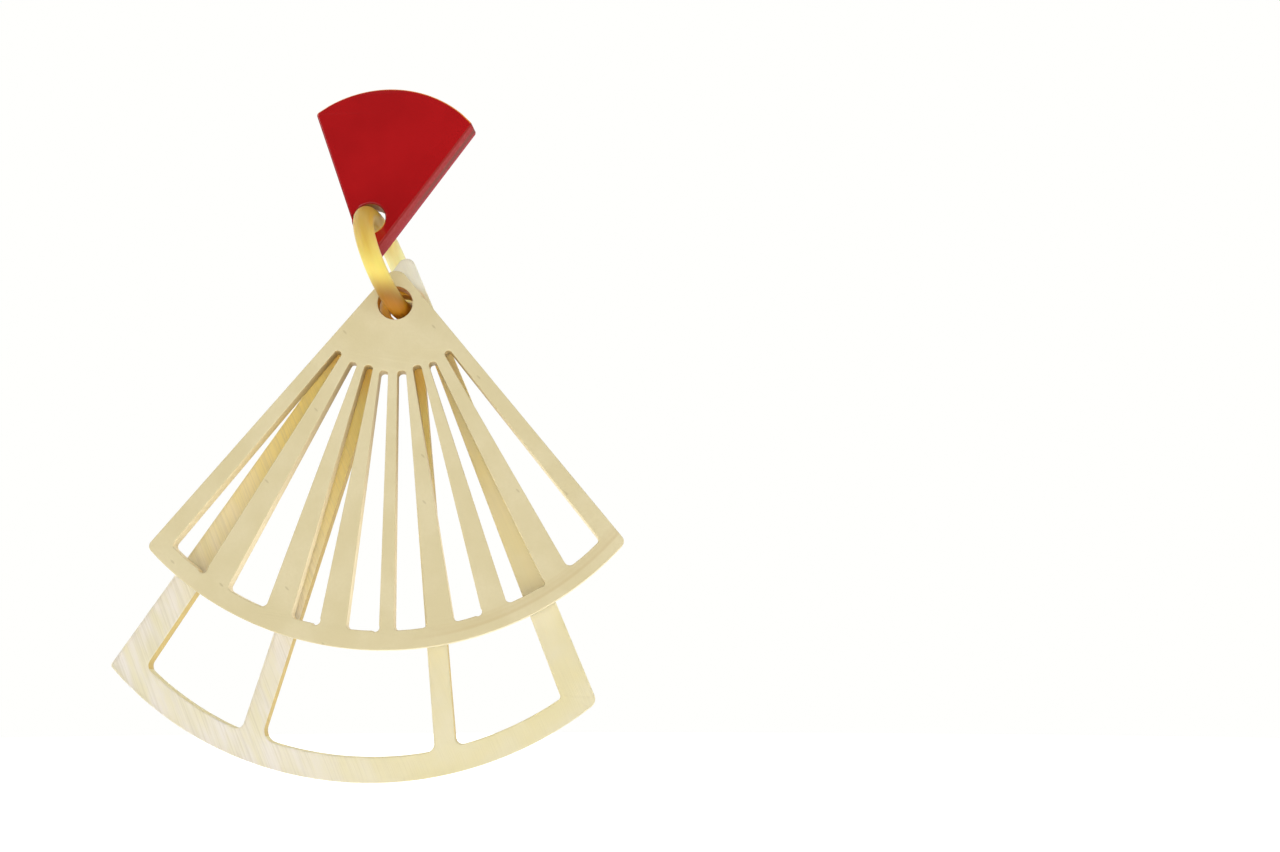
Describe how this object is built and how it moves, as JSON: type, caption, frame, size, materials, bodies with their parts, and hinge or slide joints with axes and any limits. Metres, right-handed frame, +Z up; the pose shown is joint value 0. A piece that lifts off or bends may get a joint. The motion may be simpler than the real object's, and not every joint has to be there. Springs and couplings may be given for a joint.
{
  "type": "fan drop earring",
  "caption": "Post earring with a glossy wedge stud, from which a round link holds a slotted fan plate in front of a larger windowed one.",
  "frame": {"origin": "on the ear post's axis, at the back face of its pad, where the front of the ear lobe lies", "axes": "+Z up as worn, +Y backwards along the ear post, -Y the earring's front, +X to the right as seen from the front"},
  "size_m": [0.0582, 0.0197, 0.0848],
  "materials": {
    "red_lacquer": "glossy red lacquer on a horn plate, with matt sanded walls",
    "post_metal": "plain surgical steel",
    "clear_horn": "polished translucent yellow horn",
    "cream_lacquer": "matt cream lacquer on horn",
    "pale_horn": "sanded bare pale horn with orange-yellow cut walls"
  },
  "bodies": {
    "stud": {"lacquered_wedge": "red_lacquer", "ear_post": "post_metal"},
    "link": {"link_ring": "clear_horn"},
    "front_plate": {"front_fan": "cream_lacquer"},
    "back_plate": {"back_fan": "pale_horn"}
  },
  "joints": [
    {"name": "ring_swing", "type": "hinge", "parent": "stud", "child": "link", "pos_m": [0.00022, -0.00169, -0.01401], "axis": [0.9421, -0.0613, 0.3297], "range_deg": [-45, 30]},
    {"name": "front_fan_sway", "type": "hinge", "parent": "link", "child": "front_plate", "pos_m": [0.00175, -0.00145, -0.01967], "axis": [-0.1564, 0.9877, 0], "range_deg": [-30, 30]},
    {"name": "back_fan_sway", "type": "hinge", "parent": "link", "child": "back_plate", "pos_m": [0.00246, -0.00134, -0.01962], "axis": [-0.1564, 0.9877, 0], "range_deg": [-20, 30]}
  ]
}
